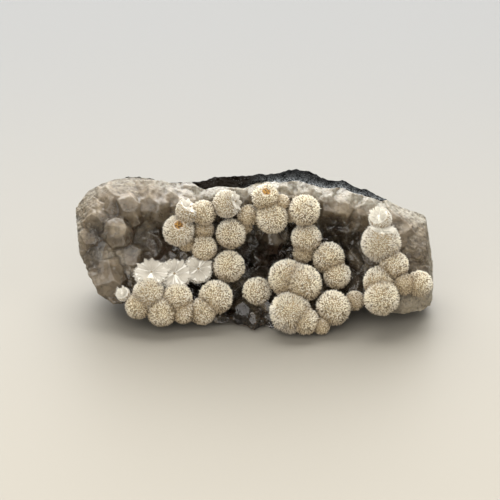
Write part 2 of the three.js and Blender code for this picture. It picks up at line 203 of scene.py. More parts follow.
# The balls of each solid: along and up, radius, and how far the middle stands out of the crust.
# towards and keep give a broken ball's cut, tuft how far its fibres stand out of it, white and brown
# the look of its needles, and pit and pitSize where and how far they have flaked off.
balls = {
    "balls_lower_left_rim": [
        dict(at=(-25.6, -21.6), radius=4.5, stand=3.2), dict(at=(-42, -19.5), radius=5, stand=3.5),
        dict(at=(-33.4, -21.6), radius=5.6, stand=4.2)],
    "ball_lower_left_under": [dict(at=(-18.8, -21.4), radius=5.2, stand=3)],
    "ball_far_left": [
        dict(at=(-47.4, -15.2), radius=2.8, stand=3.4, towards=(-0.4, 0.5, 0.75), keep=0.25,
             white=0.8, tuft=2)],
    "balls_broken_pair": [
        dict(at=(-38.1, -15.2), radius=6.1, stand=5, white=0.25),
        dict(at=(-28, -17), radius=6, stand=5.4),
        dict(at=(-37.2, -7.2), radius=6.7, stand=6, towards=(-0.05, 0.72, 0.69), keep=0, white=0.3),
        dict(at=(-28.9, -7.8), radius=6.2, stand=6.4, towards=(0.06, 0.46, 0.88), keep=0, white=0.3)],
    "ball_broken_single": [
        dict(at=(-20.3, -6.2), radius=5.4, stand=5, towards=(0.12, 0.3, 0.95), keep=0.1, white=0.3)],
    "ball_left_lower": [dict(at=(-13.9, -16.4), radius=6.4, stand=5)],
    "balls_upper_left": [
        dict(at=(-18.6, 8), radius=4.2, stand=2.6, brown=0.4),
        dict(at=(-24.5, 3.4), radius=3.4, stand=3.4, brown=0.3),
        dict(at=(-27.4, 7.7), radius=6, stand=4.6, white=0.3, pit=(0.03, 0.42, 0.9), pitSize=0.36),
        dict(at=(-18.2, 1.4), radius=4.8, stand=5),
        dict(at=(-24, 14.8), radius=4.8, stand=4.6, towards=(0.45, 0.8, 0.4), keep=0.42, white=0.3),
        dict(at=(-18.4, 14.2), radius=4.8, stand=5)],
    "ball_top_left": [
        dict(at=(-10.1, 17.3), radius=5.3, stand=4.2, towards=(0.85, 0.25, 0.46), keep=0.72, white=0.3)],
    "ball_left_upper": [dict(at=(-8.5, 6.6), radius=5.7, stand=5)],
    "ball_left_middle": [dict(at=(-9.2, -5.2), radius=6, stand=6.4)],
    "balls_top_middle": [
        dict(at=(-2.3, 13.3), radius=4.1, stand=2.6, brown=0.2),
        dict(at=(9.8, 17.8), radius=3.2, stand=3, brown=0.2),
        dict(at=(-3.8, 9.4), radius=3.2, stand=2, brown=0.5),
        dict(at=(13, 13.6), radius=3.1, stand=2.2, brown=0.5),
        dict(at=(4, 19.6), radius=5.2, stand=3.4, pit=(0.08, 0.55, 0.83), pitSize=0.40),
        dict(at=(6.4, 12.4), radius=6.1, stand=6.4)],
    "ball_top_right": [dict(at=(18.1, 15), radius=5.9, stand=5)],
    "balls_middle_right": [
        dict(at=(18.7, 4.9), radius=5.7, stand=5), dict(at=(17.6, -0.4), radius=4, stand=4.6, brown=0.2)],
    "balls_right_of_middle": [
        dict(at=(26.8, -2.2), radius=6, stand=6.6), dict(at=(29.8, -8.4), radius=5.2, stand=5.8)],
    "balls_lower_right": [
        dict(at=(36.2, -17.6), radius=3.8, stand=2.4, brown=0.3),
        dict(at=(24.1, -26.6), radius=3.4, stand=6, brown=0.3),
        dict(at=(28.4, -20.2), radius=6.5, stand=5)],
    "balls_lower_middle": [
        dict(at=(18.3, -24.9), radius=5.2, stand=7),
        dict(at=(13, -21.7), radius=7.8, stand=7, white=0.2)],
    "ball_middle_small": [dict(at=(0.9, -14.3), radius=5.4, stand=5)],
    "balls_middle_pair": [
        dict(at=(11.8, -9.4), radius=7, stand=10.5), dict(at=(17.4, -11.4), radius=7.2, stand=10)],
    "ball_right_sheaf": [
        dict(at=(45.4, 11.9), radius=4.4, stand=3.4, towards=(-0.3, 0.55, 0.78), keep=0.45,
             white=0.9, tuft=2)],
    "ball_right_large": [
        dict(at=(45.7, 3.4), radius=7.4, stand=5.6, towards=(0.1, 0.95, 0.3), keep=0.68,
             white=0.35, tuft=1.3)],
    "ball_right_end": [
        dict(at=(53.9, -11.6), radius=4.2, stand=3, brown=0.4),
        dict(at=(59.6, -11.4), radius=4.9, stand=2.6)],
    "ball_right_middle": [dict(at=(50.4, -4.9), radius=5.5, stand=5)],
    "balls_right_lower": [
        dict(at=(45, -10.9), radius=6, stand=5.4), dict(at=(45.9, -16.5), radius=6.7, stand=5.6)],
}
for group in balls.values():
    for ball in group:
        a, u = ball["at"]
        ball["middle"] = np.array([a, u, float(crustOut(a, u)) + ball["stand"]])
        for key in ("towards", "pit"):
            if key in ball:
                ball[key] = np.array(ball[key]) / np.linalg.norm(ball[key])
everyBall = [ball for group in balls.values() for ball in group]


# The solids were moved to put the origin under their middle. One whole ball's box gives that move.
marker = balls["ball_middle_small"][0]["middle"]
markerLow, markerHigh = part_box("ball_middle_small")
moved = np.array([
    (markerLow[0] + markerHigh[0]) / 2 - marker[0] * mm,
    (markerLow[1] + markerHigh[1]) / 2 - (marker[1] * leanSin - marker[2] * leanCos) * mm])


def toRow(points):
    # along stays, and up and out turn about it by the lean of the face
    along, up, out = np.moveaxis(np.asarray(points, float), -1, 0)
    return np.stack([
        along * mm + moved[0],
        (up * leanSin - out * leanCos) * mm + moved[1],
        (up * leanCos + out * leanSin + face["height"]) * mm], axis=-1)


def addPiece(name, points, triangles, finish, smooth, node, slot, **attributes):
    mesh = bpy.data.meshes.new(name)
    mesh.vertices.add(len(points))
    mesh.vertices.foreach_set("co", toRow(points).astype(np.float32).ravel())
    mesh.loops.add(triangles.size)
    mesh.loops.foreach_set("vertex_index", triangles.astype(np.int32).ravel())
    mesh.polygons.add(len(triangles))
    mesh.polygons.foreach_set("loop_start", np.arange(0, triangles.size, 3, dtype=np.int32))
    mesh.update(calc_edges=True)
    mesh.polygons.foreach_set("use_smooth", np.broadcast_to(smooth, len(triangles)).astype(bool))
    for key, values in attributes.items():
        mesh.attributes.new(key, "FLOAT", "POINT").data.foreach_set("value", values.astype(np.float32))
    mesh.materials.append(finish)
    piece = bpy.data.objects.new(name, mesh)
    bpy.context.collection.objects.link(piece)
    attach(piece, "root")
    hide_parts(node)


def ringFaces(stations, count):
    # faces between rings of count points, and a fan over each end, whose middle point comes last
    i, j = np.meshgrid(np.arange(stations - 1), np.arange(count), indexing="ij")
    a, b = i * count + j, i * count + (j + 1) % count
    sides = np.stack([a, a + count, b, b, a + count, b + count], axis=-1).reshape(-1, 3)
    ring, after = np.arange(count), (np.arange(count) + 1) % count
    start, last = stations * count, (stations - 1) * count
    firstCap = np.stack([np.full(count, start), ring, after], axis=-1)
    lastCap = np.stack([np.full(count, start + 1), last + after, last + ring], axis=-1)
    return np.concatenate([sides, firstCap, lastCap])


def ringSkin(rings):
    # rings of points along the specimen, joined into one closed skin with a middle point at each end
    points = np.concatenate([rings.reshape(-1, 3), rings[0].mean(0)[None], rings[-1].mean(0)[None]])
    return points, ringFaces(*rings.shape[:2])


def spread(stations, low, high, share):
    # the places from low to high at each station, as along and up
    along = np.repeat(stations[:, None], len(share), axis=1)
    return along, low[:, None] + (high - low)[:, None] * share


def overRing(values, behind, value):
    # values on the front of each ring, one value on the points behind it, and 0 in the end middles
    rest = np.full((len(values), behind), value)
    return np.append(np.concatenate([values, rest], axis=1), [0, 0])


# One class for the shader sums: it wraps a socket, and each operator adds a Math node.
class Value:
    def __init__(self, finish, socket):
        self.finish = finish
        self.socket = socket

    def sum(self, operation, first, second):
        return self.finish.node("ShaderNodeMath", {"operation": operation}, {0: first, 1: second})

    def __add__(self, other):
        return self.sum("ADD", self, other)

    def __sub__(self, other):
        return self.sum("SUBTRACT", self, other)

    def __rsub__(self, other):
        return self.sum("SUBTRACT", other, self)

    def __mul__(self, other):
        return self.sum("MULTIPLY", self, other)

    __radd__ = __add__
    __rmul__ = __mul__

    def step(self, low, high):
        # 0 below low, 1 above high, smooth in between
        return self.finish.node("ShaderNodeMapRange", {"interpolation_type": "SMOOTHSTEP"},
                                {0: self, 1: low, 2: high})


class Finish:
    def __init__(self, name):
        self.material = bpy.data.materials.new(name)
        self.material.use_nodes = True
        self.tree = self.material.node_tree
        self.tree.nodes.clear()

    def node(self, kind, settings=None, sockets=None, output=0):
        # any other node: its type, its settings, and then a value or a link for its sockets
        made = self.tree.nodes.new(kind)
        for key, value in (settings or {}).items():
            setattr(made, key, value)
        for key, value in (sockets or {}).items():
            socket = made.inputs[key]
            if isinstance(value, Value):
                self.tree.links.new(value.socket, socket)
            elif socket.type == "RGBA":
                socket.default_value = (*value, 1)
            else:
                socket.default_value = value
        return Value(self, made.outputs[output])

    def attribute(self, name):
        return self.node("ShaderNodeAttribute", {"attribute_name": name}, output=2)

    def place(self):
        return self.node("ShaderNodeTexCoord", output=3)

    def noise(self, spacing, detail=3.0, warp=0.0, place=None):
        return self.node("ShaderNodeTexNoise", {}, {
            "Vector": place or self.place(), "Scale": 1 / (spacing * mm),
            "Detail": detail, "Distortion": warp})

    def streaks(self, spacing, stretch):
        # noise drawn out along the specimen
        drawn = self.node("ShaderNodeMapping", {}, {"Vector": self.place(), "Scale": (1 / stretch, 1, 1)})
        return self.noise(spacing, 3.0, 0.5, drawn)

    def cells(self, spacing, feature="F1", output=0):
        return self.node("ShaderNodeTexVoronoi", {"feature": feature}, {
            "Vector": self.place(), "Scale": 1 / (spacing * mm)}, output)

    def mix(self, share, first, second):
        return self.node("ShaderNodeMix", {"data_type": "RGBA"}, {0: share, 6: first, 7: second}, 2)

    def bump(self, height, distance, strength):
        return self.node("ShaderNodeBump", {}, {
            "Height": height, "Distance": distance * mm, "Strength": strength})

    def done(self, surface, volume=None):
        end = self.tree.nodes.new("ShaderNodeOutputMaterial")
        self.tree.links.new(surface.socket, end.inputs["Surface"])
        if volume is not None:
            self.tree.links.new(volume.socket, end.inputs["Volume"])
        return self.material


# The larger crystals, the same as those of the solids: along, up, radius and rise.
crystals = [
    (-53.2, -9, 6.6, 4.6), (-50.5, -18, 3.4, 3), (-49.3, 7.2, 5.6, 5), (-44.6, 14.6, 5, 3.2),
    (-57, 13.3, 5.2, 2.4), (-60.4, 3.6, 4.4, 2), (-34.4, 3.4, 6, 3.6), (-36.2, 14.6, 5.2, 3),
    (-42.6, -0.4, 5, 3.2), (-51, 19, 4.8, 2), (-31, 20.4, 4.6, 2.4), (-20, 21.8, 5, 2.4),
    (-4.6, 22, 4.6, 2.4), (11.6, 23, 4.4, 2.2), (20.5, 22, 4, 2.4), (27.4, 19.6, 4.6, 3),
    (33.6, 17.6, 4.4, 3), (40, 17, 4.4, 2.6), (6.4, 4.3, 4.4, 4.4), (0.6, -3.6, 5, 3.2),
    (3.6, -9.6, 3.6, 4.4), (-4.1, -21, 4.8, 4.8), (-0.6, -24.6, 3.2, 4), (4.9, -19.6, 4, 4.2),
    (32.5, 6.6, 6, 2.8), (36.8, -3.4, 3.8, 4), (36, -12, 4, 3), (50.6, 12.6, 4.8, 1.8),
    (56, 8, 5.4, 1.4)]

prism = {
    "step": 1.5,  # over which the slope under a crystal is measured, mm
    "sway": 0.25,  # how far its axis leans at random
    "follow": 0.8,  # how far its axis follows the slope
    "taper": 0.3,  # of its six sides
    "tip": math.radians(38),  # between its axis and the normals of its tip faces
    "blunt": 0.35,  # how far the break across its tip is turned from the axis
    "bent": 0.8,  # how far its faces bend, mm
}


def crystalPlanes(along, up, radius, rise, number):
    # the crystal's faces as (normal, point): a tip of three faces and six sides that taper a little
    step = prism["step"]
    slopeAlong = float(crustOut(along + step, up) - crustOut(along - step, up)) / (2 * step)
    slopeUp = float(crustOut(along, up + step) - crustOut(along, up - step)) / (2 * step)
    sway = [prism["sway"] * (2 * seeded(number + k) - 1) for k in (0.1, 0.2)]
    axis = np.array([sway[0] - prism["follow"] * slopeAlong, sway[1] - prism["follow"] * slopeUp, 1])
    axis /= np.linalg.norm(axis)
    foot = np.array([along, up, float(crustOut(along, up))])
    twist = seeded(number + 0.3) * math.pi
    cross = np.array([[0, 0, axis[0]], [0, 0, axis[1]], [-axis[0], -axis[1], 0]])
    turn = np.eye(3) + cross + cross @ cross / (1 + axis[2])
    planes = []
    for side in range(6):
        angle = twist + side * math.pi / 3
        uneven = seeded(number + side * 0.7)
        outward = turn @ np.array([math.cos(angle), math.sin(angle), 0])
        taper = outward + prism["taper"] * axis
        planes.append((taper / np.linalg.norm(taper), foot + outward * radius * (0.86 + 0.24 * uneven)))
        if side % 2 == 0:
            tipFace = outward * math.sin(prism["tip"]) + axis * math.cos(prism["tip"])
            planes.append((tipFace, foot + axis * rise * (0.9 + 0.3 * uneven)))
    blunt = axis + prism["blunt"] * turn @ np.array([math.cos(twist + 2), math.sin(twist + 2), 0])
    broken = foot + axis * rise * (0.62 + 0.5 * seeded(number + 0.4))
    planes.append((blunt / np.linalg.norm(blunt), broken))
    return planes


def crystalsOut(along, up):
    # the highest crystal face at each place: least over a crystal's faces, then most over crystals
    place = stacked(along, up, 0)
    x = along + prism["bent"] * roughness(place, 5, 3, 91)
    y = up + prism["bent"] * roughness(place, 5, 3, 92)
    out = np.full(along.shape, -99.0)
    for number, (a, u, radius, rise) in enumerate(crystals):
        near = (np.abs(along - a) < 2.2 * radius) & (np.abs(up - u) < 2.2 * radius)
        least = np.full(near.sum(), 99.0)
        for normal, point in crystalPlanes(a, u, radius, rise, number):
            lift = max(normal[2], 0.12)
            least = np.minimum(least, (normal @ point - normal[0] * x[near] - normal[1] * y[near]) / lift)
        out[near] = np.maximum(out[near], least)
    return out


def rimShare(along, up):
    # 1 on the broken, rippled rims: the left end, the top left and the right end, 0 inside
    fromSky = np.maximum(0, readLine(skyline, along) - up)
    left = np.where(along < 0, 1 - smoothStep(4, 9, fromEnd(along)), 0)
    topLeft = (1 - smoothStep(5, 9, fromSky)) * (1 - smoothStep(-40, -26, along))
    right = smoothStep(46, 52, along)
    return np.clip(np.maximum(np.maximum(left, topLeft), right), 0, 1)


darkPlaces = [  # along, up, half width, half height, how dark
    (3, -3, 13, 10, 1), (31, -1, 10, 14, 0.85), (27, 8, 9, 6, 0.8), (-37, 3, 13, 8, 0.7),
    (-1, -22, 14, 11, 0.97), (-22, -14, 12, 10, 0.8), (38, -13, 7, 9, 0.75), (-44, -14, 6, 7, 0.5),
    (14, 4, 8, 12, 0.8), (-14, 10, 10, 8, 0.5), (-58, 3, 4.5, 10, 0.75)]
# Milky quartz as soft patches. The first, on the tip of the crystal at (-49, 7.8), is a painted highlight.
# The last lightens the lower right end against the shade of its down-facing slope, so it is partly painted
# light.
milkyPlaces = [  # along, up, half width, half height, how milky (for the first, how bright its painted highlight)
    (-49, 7.8, 3.2, 2.8, 1.3), (-53, -8.5, 7, 8, 0.15), (-41, 19, 7, 3.5, 0.25), (33, 17, 7, 4.5, 0.8),
    (46, 17, 9, 4, 0.7), (8.5, 5.2, 3.8, 3, 0.8), (-60, 16, 6, 6, 0.5), (-63, 4, 2, 9, 0.5),
    (2, -20, 3.5, 1.6, 0.5), (-2, 23, 18, 3, 0.6), (22, 21, 14, 4, 0.5), (-25, 21, 10, 3, 0.35),
    (34, -1, 9, 10, 0.2), (-46, -1, 12, 12, 0.25), (57, 8, 7, 7, 0.25), (58, -16, 10, 8, 1)]
calmPlaces = [(-53, -8, 8, 9, 0.9), (-42, 4, 17, 12, 0.65)]  # and how free from small crystals


def patchShare(places, along, up):
    # soft patches, depth * exp(-away ** 2) each: the deepest one counts
    share = np.zeros(np.shape(along))
    for a, u, halfWide, halfHigh, depth in places:
        away = ((along - a) / halfWide) ** 2 + ((up - u) / halfHigh) ** 2
        share = np.maximum(share, depth * np.exp(-away ** 2))
    return share


small = {  # the small crystals: height, spacing, slope, seed and sides
    "fine": (1, 1.5, 0.8, 14, 6), "coarse": (0.8, 4.2, 0.6, 13, 6), "lumps": (0.65, 2.9, 1.1, 15, 0),
    "froth": (0.4, 1.1, 0.9, 16, 0), "shells": (0.4, 3.1, 0.6, 17, 4)}


def smallOut(kind, along, up):
    height, *shape = small[kind]
    return height * crystalCaps(along, up, *shape)


def crustSurface(along, up):
    # out = the face + small crystals inside, frothy lumps under the skyline or shelly breaks on the
    # rims, or the larger crystals where those stand higher. The second result is how far they stand.
    rim = rimShare(along, up)
    place = stacked(along, up, 0)
    fromSky = np.maximum(0, readLine(skyline, along) - up)
    lumpy = (1 - smoothStep(5, 9, fromSky)) * (1 - rim) * smoothStep(-34, -26, along)
    bent = along + 0.9 * roughness(place, 5, 2, 71), up + 0.9 * roughness(place, 5, 2, 72)
    fine = smallOut("fine", *bent)
    druse = smallOut("coarse", *bent) + fine
    lumps = smallOut("lumps", *bent) + smallOut("froth", *bent)
    ripple = np.sin((along * 0.3 + up * 1.7 + 3.4 * latticeNoise(place, 9, 5)) * 1.5) * (along < 0)
    shelly = 0.16 * ripple + 0.9 * roughness(place, 5, 4, 21) + smallOut("shells", *bent)
    druse = druse + (lumps - druse) * lumpy
    druse = druse + (shelly - druse) * rim
    calm = patchShare(calmPlaces, along, up)
    out = crustOut(along, up) + druse * (1 - calm) + 0.1 * roughness(place, 0.9, 2, 8)
    raised = crystalsOut(along, up) + (1 - calm) * (0.2 * fine + 0.25 * roughness(place, 2, 3, 93))
    return np.maximum(out, raised), np.clip(raised - out + 0.8, 0, 6)


def blurred(field, reach):
    # the mean over a square of cells about each one
    for axis in (0, 1):
        edges = [(reach + 1, reach) if axis == k else (0, 0) for k in (0, 1)]
        total = np.cumsum(np.pad(field, edges, mode="edge"), axis=axis)
        count = field.shape[axis]
        ahead = np.take(total, range(2 * reach + 1, 2 * reach + 1 + count), axis=axis)
        field = (ahead - np.take(total, range(count), axis=axis)) / (2 * reach + 1)
    return field


crust = {
    "stations": 420, "rows": 165, "backRows": 56,
    "crowding": 0.93,  # how far the stations crowd towards the ends, up to 1
    "topJag": 0.25, "bottomJag": 0.7,  # of its upper and lower edge, mm
    "gap": 0.3,  # to the basalt behind it
    "least": 0.05,  # its least thickness
    "lift": 0.4,  # above the table
    "backRelief": 0.5, "chips": 0.9,  # of its back and of its underside
    "teeth": 1.4,  # along its two ends
    "crest": (2, 6.5),  # from and to which depth under the upper edge the pale band fades
}


def buildCrust(finish):
    # rings along the specimen: on the front out = crustSurface, and on the back out = the greater
    # of rockBack and layerOut, with noise. The stations are a sine of even steps.
    sweep = crust["crowding"] * math.pi / 2
    stations = face["halfLength"] * np.sin(np.linspace(-sweep, sweep, crust["stations"])) / math.sin(sweep)
    jag = stacked(stations, 0, 0)
    top = np.minimum(crustTop(stations), readLine(skyline, stations))
    top = top + crust["topJag"] * roughness(jag, 3, 3, 80)
    bottom = readLine(lowerEdge, stations) + crust["bottomJag"] * roughness(jag, 4, 3, 81)
    along, up = spread(stations, bottom, top, np.linspace(0, 1, crust["rows"]))
    front, stand = crustSurface(along, up)
    front = np.maximum(front, tableOut(up, crust["lift"]) + crust["least"])
    backAlong, backUp = spread(stations, bottom, top, np.linspace(1, 0, crust["backRows"]))
    backPlace = stacked(backAlong, backUp, 0)
    highest = crustOut(backAlong, backUp) - crust["least"]
    back = np.maximum(rockBack(backAlong, backUp), layerOut(backAlong, backUp) + crust["gap"])
    back = np.minimum(back + crust["backRelief"] * roughness(backPlace, 6, 3, 31), highest)
    chipped = tableOut(backUp, crust["lift"] + crust["chips"] * np.abs(roughness(backPlace, 4, 4, 32)))
    back = np.maximum(back, np.minimum(chipped, highest))
    back = np.maximum(back, tableOut(backUp, crust["lift"]))
    rings = np.concatenate([stacked(along, up, front), stacked(backAlong, backUp, back)], axis=1)
    teeth = np.abs(roughness(rings * [0.25, 1, 1], 2.4, 4, 82)) * np.exp(-fromEnd(rings[..., 0]) / 6)
    rings[..., 0] -= np.sign(rings[..., 0]) * crust["teeth"] * teeth
    points, triangles = ringSkin(rings)
    x, y = points[:, 0], points[:, 1]
    fromTop = np.minimum(crustTop(x) - y, 1.5 * fromEnd(x) + 2)
    crest = (1 - smoothStep(*crust["crest"], fromTop)) * (0.45 + 0.55 * smoothStep(-42, -28, x))
    # How far each place stands above its neighbours, for the painted highlights on crests and the painted
    # shade in dips.
    ridge = np.clip(0.5 + 0.6 * (front - blurred(front, 4)), 0, 1)
    addPiece("quartzCrust", points, triangles, finish, True, "quartz_crust", "quartz",
             pale=np.clip(1 - patchShare(darkPlaces, x, y), 0, 1), rim=rimShare(x, y),
             stand=overRing(stand, crust["backRows"], 0), ridge=overRing(ridge, crust["backRows"], 0.5),
             milky=patchShare(milkyPlaces, x, y), crest=crest)


basalt = {
    "stations": (-58, 59, 300), "probe": (-30, 31, 500),  # from, to and how many
    "rows": (30, 60), "split": 0.75,  # on the front, below and above this share of its height
    "wallRows": 6, "backRows": 90,
    "least": (0.05, 0.04),  # its least thickness, where it ends and on its back
    "edgeJag": 0.55, "bareRelief": 1.9, "wallRelief": 0.5,
    "backRelief": (0.9, 1.3),  # of its lumps and of its ridges
    "backIn": 0.3, "chips": 0.8, "lift": 0.03,
    "seam": 1.2,  # over which the dusty seam fades, mm
}


def blockFront(along, up):
    # the block's face: behind the crust, and bare above it
    return np.where(up < crustTop(along), layerOut(along, up), crustOut(along, up))


def buildBasalt(finish):
    # rings along the specimen: on the front out = blockFront, with noise on the bare band, then a
    # low wall along the top, and on the back out = rockBack with noise and ridges, |noise|
    stations = np.linspace(*basalt["stations"])
    along, up = np.meshgrid(stations, np.linspace(*basalt["probe"]), indexing="ij")
    there = blockFront(along, up) > rockBack(along, up) + basalt["least"][0]
    there &= (up < readLine(skyline, along)) & (up > readLine(lowerEdge, along))
    kept = there.any(axis=1)
    stations, up, there = stations[kept], up[kept], there[kept]
    low = np.where(there, up, 99).min(axis=1)
    high = np.where(there, up, -99).max(axis=1)
    jag = basalt["edgeJag"] * roughness(stacked(stations, 0, 0), 5, 4, 40)
    high = np.where(readLine(bareRock, stations) > 0, high + jag, high)
    split, (lowerRows, upperRows) = basalt["split"], basalt["rows"]
    share = np.append(np.linspace(0, split, lowerRows, endpoint=False), np.linspace(split, 1, upperRows))
    along, up = spread(stations, low, high, share)
    bare = np.clip((up - crustTop(along)) / 0.6, 0, 1)
    relief = basalt["bareRelief"] * roughness(stacked(along, up, 0), 2.6, 4, 50)
    front = blockFront(along, up) + bare * relief
    backAlong, backUp = spread(stations, low, high, np.linspace(1, 0, basalt["backRows"]))
    backPlace = stacked(backAlong, backUp, 0)
    lumps, ridges = basalt["backRelief"]
    back = rockBack(backAlong, backUp) + basalt["backIn"] + lumps * roughness(backPlace, 7, 5, 60)
    back = back + ridges * np.abs(roughness(backPlace, 5, 3, 61))
    chips = basalt["chips"] * np.abs(roughness(backPlace, 4.5, 4, 62))
    back = np.maximum(back, tableOut(backUp, basalt["lift"] + chips))
    back = np.minimum(back, blockFront(backAlong, backUp) - basalt["least"][1])
    wallShare = np.linspace(0, 1, basalt["wallRows"] + 2)[1:-1]
    wallAlong, wallUp = spread(stations, high, high, wallShare)
    wallOut = front[:, -1:] + (back[:, :1] - front[:, -1:]) * wallShare
    relief = basalt["wallRelief"] * roughness(stacked(wallAlong, wallUp, wallOut), 3, 3, 70)
    wallUp = wallUp + relief * np.sin(math.pi * wallShare)
    rings = np.concatenate([
        stacked(along, up, front), stacked(wallAlong, wallUp, wallOut),
        stacked(backAlong, backUp, back)], axis=1)
    points, triangles = ringSkin(rings)
    x, y = points[:, 0], points[:, 1]
    facing = overRing(np.ones(front.shape), basalt["wallRows"] + basalt["backRows"], 0)
    seam = np.exp(-np.abs(y - crustTop(x)) / basalt["seam"]) * smoothStep(-8, 16, x)
    addPiece("basaltMatrix", points, triangles, finish, True, "basalt_matrix", "basalt",
             seam=seam * facing, brown=(1 - smoothStep(-6, 6, x)) * facing, rear=1 - facing)


needle = {
    "spacing": 0.5,  # between neighbouring needles, mm
    "root": 0.84,  # where a needle starts, as a share of the ball's radius
    "shoulder": 0.45,  # where it starts to narrow to its tip, as a share of its length
    "width": (0.56, 0.40),  # of its foot and shoulder, half across, as a share of the spacing
    "reach": (0.925, 1.035),  # where the tips end, as a share of the ball's radius
    "shake": 0.3,  # of their feet, as a share of the spacing
    "clump": 0.25,  # how far their tips lean together, as a share of the spacing
    "swell": 0.03,  # how uneven the ball is, as a share of its radius
    "proud": (0.06, 0.05),  # how many stand out beyond the others, and by what share of the radius
    "stunted": (0.16, 0.065),  # how many stay short and brown, and by what share of the radius
    "dark": 0.15,  # how many more are brown to their tips
}


def crossways(aim, rng):
    # two directions square to each aim and to each other
    other = rng.normal(size=aim.shape)
    first = np.cross(aim, other)
    first /= np.linalg.norm(first, axis=1, keepdims=True)
    return first, np.cross(aim, first)


def spreadOnBall(count):
    # the golden angle spiral: even steps in height, the golden angle round from each to the next
    i = np.arange(count) + 0.5
    height = 1 - 2 * i / count
    angle = math.pi * (3 - math.sqrt(5)) * i
    wide = np.sqrt(1 - height ** 2)
    return np.stack([wide * np.cos(angle), wide * np.sin(angle), height], axis=-1)


def outsideOthers(points, ball, share):
    # how far each point stands clear of the other balls, of the crust and of the table, in mm
    level = points[:, 1] * leanCos + points[:, 2] * leanSin + face["height"]
    clear = np.minimum(points[:, 2] - crustOut(points[:, 0], points[:, 1]) + 0.6, level - 0.35)
    for other in everyBall:
        if other is ball:
            continue
        away = points - other["middle"]
        reach = np.linalg.norm(away, axis=1) - other["radius"] * share
        if "towards" in other:
            reach = np.maximum(reach, away @ other["towards"] - other["radius"] * other["keep"])
        clear = np.minimum(clear, reach)
    return clear


def needleTips(ball, rng):
    # square prisms that narrow to a point: foot = middle + aim * radius * root, and
    # tip = middle + aim * radius * reach, for aims that are spread over the ball and shaken
    radius, middle, spacing = ball["radius"], ball["middle"], needle["spacing"]
    aim = spreadOnBall(int(4 * math.pi * radius ** 2 / spacing ** 2))
    aim = aim + rng.normal(scale=needle["shake"] * spacing / radius, size=aim.shape)
    aim /= np.linalg.norm(aim, axis=1, keepdims=True)
    if "towards" in ball:
        aim = aim[aim @ ball["towards"] < ball["keep"] / 0.93]
    if "pit" in ball:
        ragged = ball["pitSize"] * (1 + 0.5 * latticeNoise(aim * radius, 1.2, 9))
        aim = aim[np.linalg.norm((aim - ball["pit"]) * (0.75, 1.15, 1), axis=1) > ragged]
    (stuntedShare, shorter), (proudShare, longer) = needle["stunted"], needle["proud"]
    stunted = rng.uniform(size=len(aim)) < stuntedShare
    proud = rng.uniform(size=len(aim)) < proudShare
    reach = rng.uniform(*needle["reach"], size=len(aim)) - shorter * stunted + longer * proud
    swell = 1 + needle["swell"] * latticeNoise(aim * radius + middle, 3.2, 3)
    clump = np.stack([latticeNoise(aim * radius + middle, 1.5, seed) for seed in (31, 32, 33)], axis=-1)
    tip = middle + aim * radius * (reach * swell)[:, None] + clump * needle["clump"] * spacing
    clear = outsideOthers(tip, ball, 0.95)
    keep = clear > -0.15
    aim, tip, clear, stunted = aim[keep], tip[keep], clear[keep], stunted[keep]
    first, second = crossways(aim, rng)
    thick = spacing * rng.uniform(0.8, 1.15, size=(len(aim), 1))
    foot = middle + aim * radius * needle["root"]
    shoulder = foot + (tip - foot) * needle["shoulder"]
    points = []
    for centre, share in zip((foot, shoulder), needle["width"]):
        wide, high = thick * share * first, thick * share * second
        points += [centre + wide, centre + high, centre - wide, centre - high]
    points = np.stack([*points, tip], axis=1)
    around = [(0, 1), (1, 2), (2, 3), (3, 0)]
    faces = np.array([
        (0, 3, 2), (0, 2, 1), *((a, b, a + 4) for a, b in around),
        *((b, b + 4, a + 4) for a, b in around), *((a + 4, b + 4, 8) for a, b in around)])
    triangles = (np.arange(len(aim)) * 9)[:, None, None] + faces
    freshAndTopLight = np.full(len(aim), ball.get("white", 0.0))
    if "towards" in ball:
        edge = aim @ ball["towards"] - ball["keep"]
        freshAndTopLight = np.clip(freshAndTopLight + 0.7 * smoothStep(-0.55, 0.05, edge), 0, 1)
    facing = aim[:, 1] * leanCos + aim[:, 2] * leanSin
    under = 1 - smoothStep(-0.9, 0.75, facing)
    clear = np.maximum(clear, 0)
    # Some needles are brown to their tips. There are more of them on the undersides, as painted shade, and
    # more close to other balls, the crust and the table.
    dark = rng.uniform(size=len(aim)) < needle["dark"] * (0.6 + under + 1.5 * np.exp(-clear))
    tint = rng.uniform(0.5, 1, size=len(aim)) * (1 - 0.85 * stunted) * (1 - 0.75 * dark)
    patchy = 0.5 + 0.5 * latticeNoise(aim * radius + middle, 3, 44)
    # Needles that point upwards are whitened in patches: painted light on the tops of the balls, added to
    # the white of fresh breaks.
    freshAndTopLight = np.clip(freshAndTopLight + 0.5 * patchy * smoothStep(0.1, 0.9, facing), 0, 1) * (1 - 0.6 * stunted)
    # Browner close to other balls, the crust and the table, browner on the undersides as painted shade,
    # and browner by each ball's own brown.
    snug = np.clip(np.exp(-clear / 1.6) + 0.85 * under ** 1.3 + ball.get("brown", 0), 0, 1)
    return points.reshape(-1, 3), triangles.reshape(-1, 3), dict(
        tip=np.tile([0, 0, 0, 0, 0.5, 0.5, 0.5, 0.5, 1], len(aim)), tint=np.repeat(tint, 9),
        freshAndTopLight=np.repeat(freshAndTopLight, 9), snug=np.repeat(snug, 9))


core = {"rows": 22, "columns": 40, "size": 0.885, "uneven": 0.02}  # size as a share of the radius


